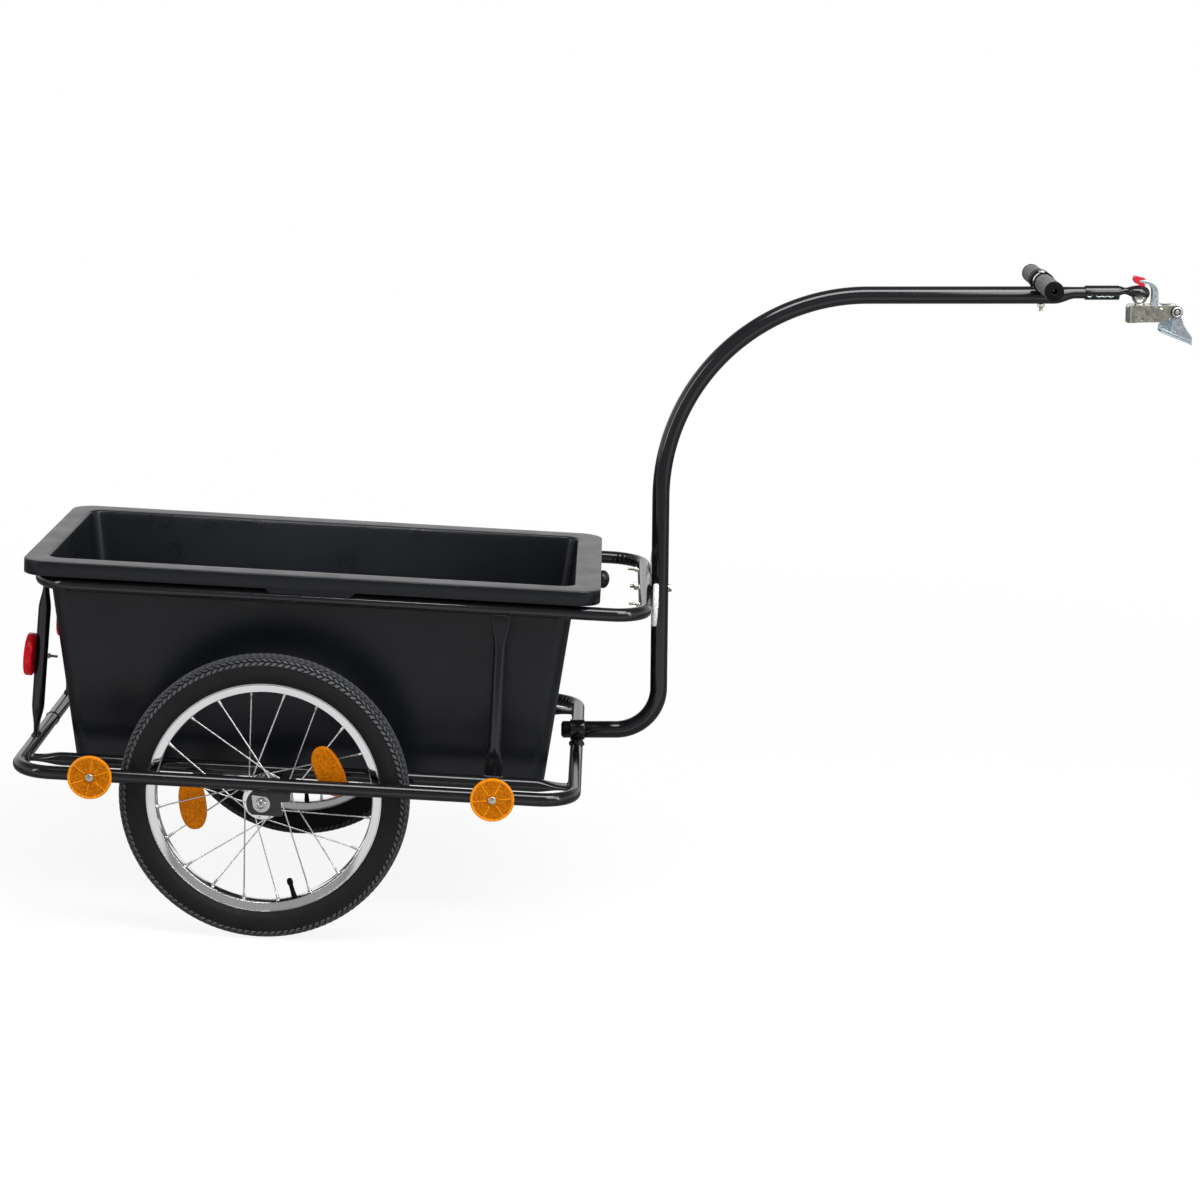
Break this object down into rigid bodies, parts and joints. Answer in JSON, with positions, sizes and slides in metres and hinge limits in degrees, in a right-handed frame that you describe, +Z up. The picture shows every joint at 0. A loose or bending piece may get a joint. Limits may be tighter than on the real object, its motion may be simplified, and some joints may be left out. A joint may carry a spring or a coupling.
{
  "type": "bicycle trailer",
  "caption": "Single-axle cargo trailer: a lift-out tub in a tube frame on two spoked wheels, with a tall bent drawbar, a push handle and a ball hitch for the seat post.",
  "frame": {"origin": "under the middle of the trailer's whole length, on the ground under the tyres", "axes": "+X towards the bicycle along the drawbar, +Y to the trailer's left side, +Z up"},
  "size_m": [1.6347, 0.6314, 0.9717],
  "materials": {
    "frame_paint": "black semi-gloss powder coat",
    "tub_plastic": "dark grey moulded plastic, satin",
    "tyre_rubber": "black rubber with a block tread",
    "black_rubber": "black rubber",
    "grip_foam": "grey foam",
    "chrome": "bright chrome",
    "yellow_zinc": "steel, pale yellowish zinc plate",
    "blue_zinc": "steel, bluish zinc plate",
    "amber_lens": "amber prism lens",
    "red_lens": "red prism lens",
    "clear_lens": "clear silver prism lens",
    "red_cap": "red soft plastic"
  },
  "bodies": {
    "chassis": {"lower_loop": "frame_paint", "upper_loop": "frame_paint", "inner_rail_right": "frame_paint", "inner_rail_left": "frame_paint", "rear_strut_right": "frame_paint", "rear_strut_left": "frame_paint", "front_strut_right": "frame_paint", "front_strut_left": "frame_paint", "axle_plate_outer_right": "frame_paint", "axle_plate_outer_left": "frame_paint", "axle_plate_inner_right": "frame_paint", "axle_plate_inner_left": "frame_paint", "drawbar_collar": "frame_paint", "drawbar_tube": "frame_paint", "drawbar_plug": "black_rubber", "drawbar_bolt": "yellow_zinc", "drawbar_nut": "yellow_zinc", "handle_bar": "yellow_zinc", "handle_bolt": "yellow_zinc", "handle_grip_right": "grip_foam", "handle_grip_left": "grip_foam", "coupling_sleeve": "frame_paint", "coupling_head": "frame_paint", "side_reflector_rear_right": "amber_lens", "side_reflector_rear_left": "amber_lens", "side_reflector_front_right": "amber_lens", "side_reflector_front_left": "amber_lens", "rear_reflector_right": "red_lens", "rear_reflector_left": "red_lens", "front_reflector_right": "clear_lens", "front_reflector_left": "clear_lens", "axle_bolt_right": "blue_zinc", "axle_bolt_left": "blue_zinc", "axle_nut_right": "blue_zinc", "axle_nut_left": "blue_zinc", "tab_washer_right": "blue_zinc", "tab_washer_left": "blue_zinc"},
    "wheel_right": {"tyre_right": "tyre_rubber", "inner_tube_right": "black_rubber", "rim_right": "chrome", "spoked_hub_right": "chrome", "wheel_reflector_outer_right": "amber_lens", "wheel_reflector_inner_right": "amber_lens"},
    "wheel_left": {"tyre_left": "tyre_rubber", "inner_tube_left": "black_rubber", "rim_left": "chrome", "spoked_hub_left": "chrome", "wheel_reflector_outer_left": "amber_lens", "wheel_reflector_inner_left": "amber_lens"},
    "tub": {"tub": "tub_plastic", "tub_knob": "tub_plastic"},
    "ball": {"hitch_ball": "chrome"},
    "hitch": {"ball_stud": "chrome", "hitch_bracket": "yellow_zinc", "pivot_bolt": "chrome", "latch_rivet": "yellow_zinc"},
    "latch": {"latch_hook": "blue_zinc", "latch_cap": "red_cap"},
    "jaw": {"clamp_jaw": "blue_zinc"}
  },
  "joints": [
    {"name": "wheel_right_spin", "type": "hinge", "parent": "chassis", "child": "wheel_right", "pos_m": [-0.45746, -0.2591, 0.2025], "axis": [0, 1, 0], "continuous": true},
    {"name": "wheel_left_spin", "type": "hinge", "parent": "chassis", "child": "wheel_left", "pos_m": [-0.45746, 0.2591, 0.2025], "axis": [0, 1, 0], "continuous": true},
    {"name": "tub_lift", "type": "slide", "parent": "chassis", "child": "tub", "axis": [0, 0, 1], "range_m": [0, 0.35]},
    {"name": "hitch_yaw", "type": "hinge", "parent": "chassis", "child": "ball", "pos_m": [0.73894, 0, 0.93986], "axis": [-0.0576, 0, 0.9983], "range_deg": [-75, 75]},
    {"name": "hitch_pitch", "type": "hinge", "parent": "ball", "child": "hitch", "pos_m": [0.73894, 0, 0.93986], "axis": [0, 1, 0], "range_deg": [-15, 15]},
    {"name": "latch_swing", "type": "hinge", "parent": "hitch", "child": "latch", "pos_m": [0.76787, 0, 0.9245], "axis": [0, 1, 0], "range_deg": [0, 60]},
    {"name": "jaw_swing", "type": "hinge", "parent": "hitch", "child": "jaw", "pos_m": [0.7905, 0, 0.923], "axis": [0, 1, 0], "range_deg": [0, 35]}
  ]
}
